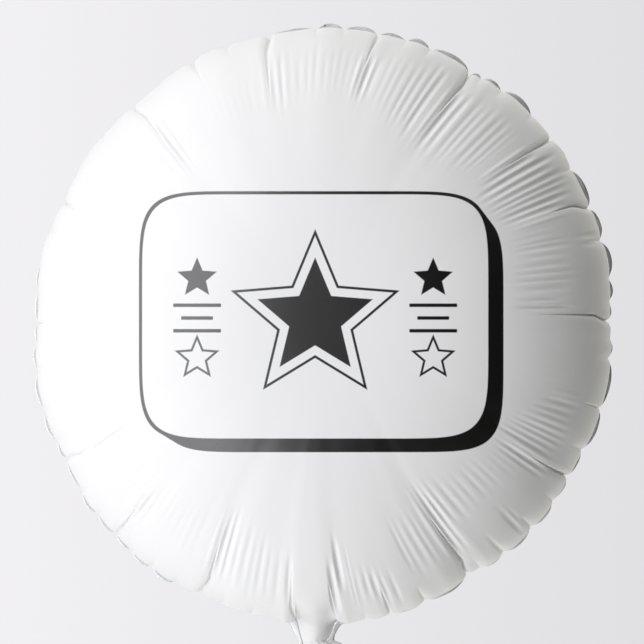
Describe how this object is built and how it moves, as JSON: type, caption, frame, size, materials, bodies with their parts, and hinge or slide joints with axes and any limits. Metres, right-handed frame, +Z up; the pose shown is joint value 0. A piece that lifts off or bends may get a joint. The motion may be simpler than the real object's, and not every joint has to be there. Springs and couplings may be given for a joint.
{
  "type": "round foil balloon",
  "caption": "Inflated round balloon of two welded foil films, white front and silver back, with a puckered rim, a short gathered neck and a flat filling tail.",
  "frame": {"origin": "middle of the gathered waist of the neck, where a ribbon, clip or hand holds the balloon", "axes": "+Z up from the neck to the top of the rim, -Y out of the white printed face, +X to the right as seen from that face; the weld line lies in the plane Y = 0"},
  "size_m": [0.3654, 0.2118, 0.4529],
  "materials": {
    "white_film": "satin white coat on metallised plastic film",
    "silver_film": "bare metallised plastic film, bright",
    "silver_weld": "metallised plastic film, heat welded, satin",
    "milky_film": "milky clear plastic film"
  },
  "bodies": {
    "root": {"front_film": "white_film", "back_film": "silver_film", "heat_weld": "silver_weld", "valve_front": "milky_film", "valve_back": "milky_film"}
  },
  "joints": []
}
